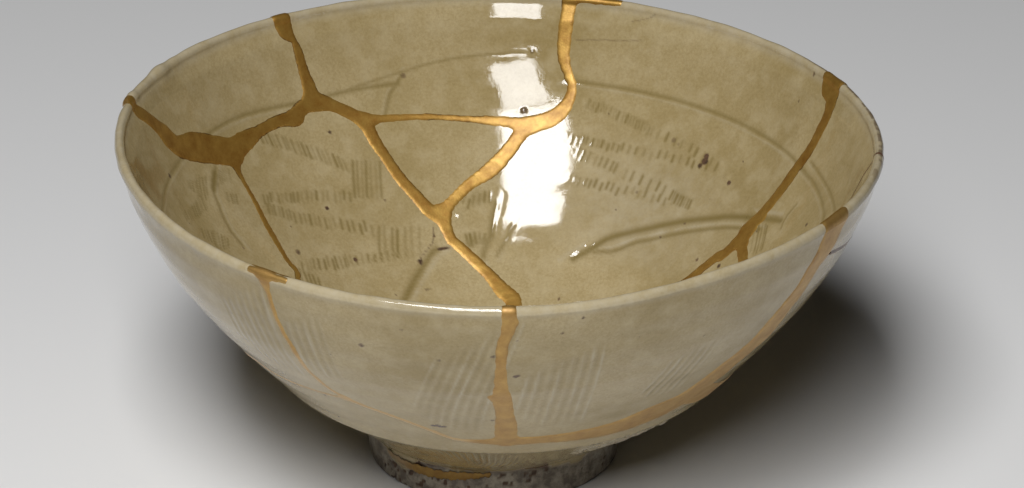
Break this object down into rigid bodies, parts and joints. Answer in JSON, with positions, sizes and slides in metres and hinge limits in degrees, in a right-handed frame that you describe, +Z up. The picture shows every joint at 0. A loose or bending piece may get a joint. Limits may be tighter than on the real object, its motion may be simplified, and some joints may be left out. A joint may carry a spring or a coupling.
{
  "type": "kintsugi bowl",
  "caption": "Footed, combed celadon bowl broken into sherds and mended through the wall with gold lacquer seams; stands on its turned foot ring and holds food, tea or small things.",
  "frame": {"origin": "on the surface the foot ring stands on, under the middle of the rim", "axes": "+Z up through the bowl, -Y towards the front seam, +X to the right"},
  "size_m": [0.1651, 0.1641, 0.0781],
  "materials": {
    "celadon_glaze": "clear olive-buff glaze over combed stoneware, bare at the foot",
    "gold_lacquer": "satin gold powder on lacquer",
    "brown_lacquer": "bare brown lacquer"
  },
  "bodies": {
    "root": {"sherd_back_left": "celadon_glaze", "sherd_back": "celadon_glaze", "sherd_back_triangle": "celadon_glaze", "sherd_back_right": "celadon_glaze", "sherd_right": "celadon_glaze", "sherd_right_rim_chip": "celadon_glaze", "sherd_front_right": "celadon_glaze", "sherd_front_left": "celadon_glaze", "sherd_left": "celadon_glaze", "sherd_base_and_foot": "celadon_glaze", "gold_seams": "gold_lacquer", "gold_foot_fill": "gold_lacquer", "brown_lacquer_line": "brown_lacquer"}
  },
  "joints": []
}
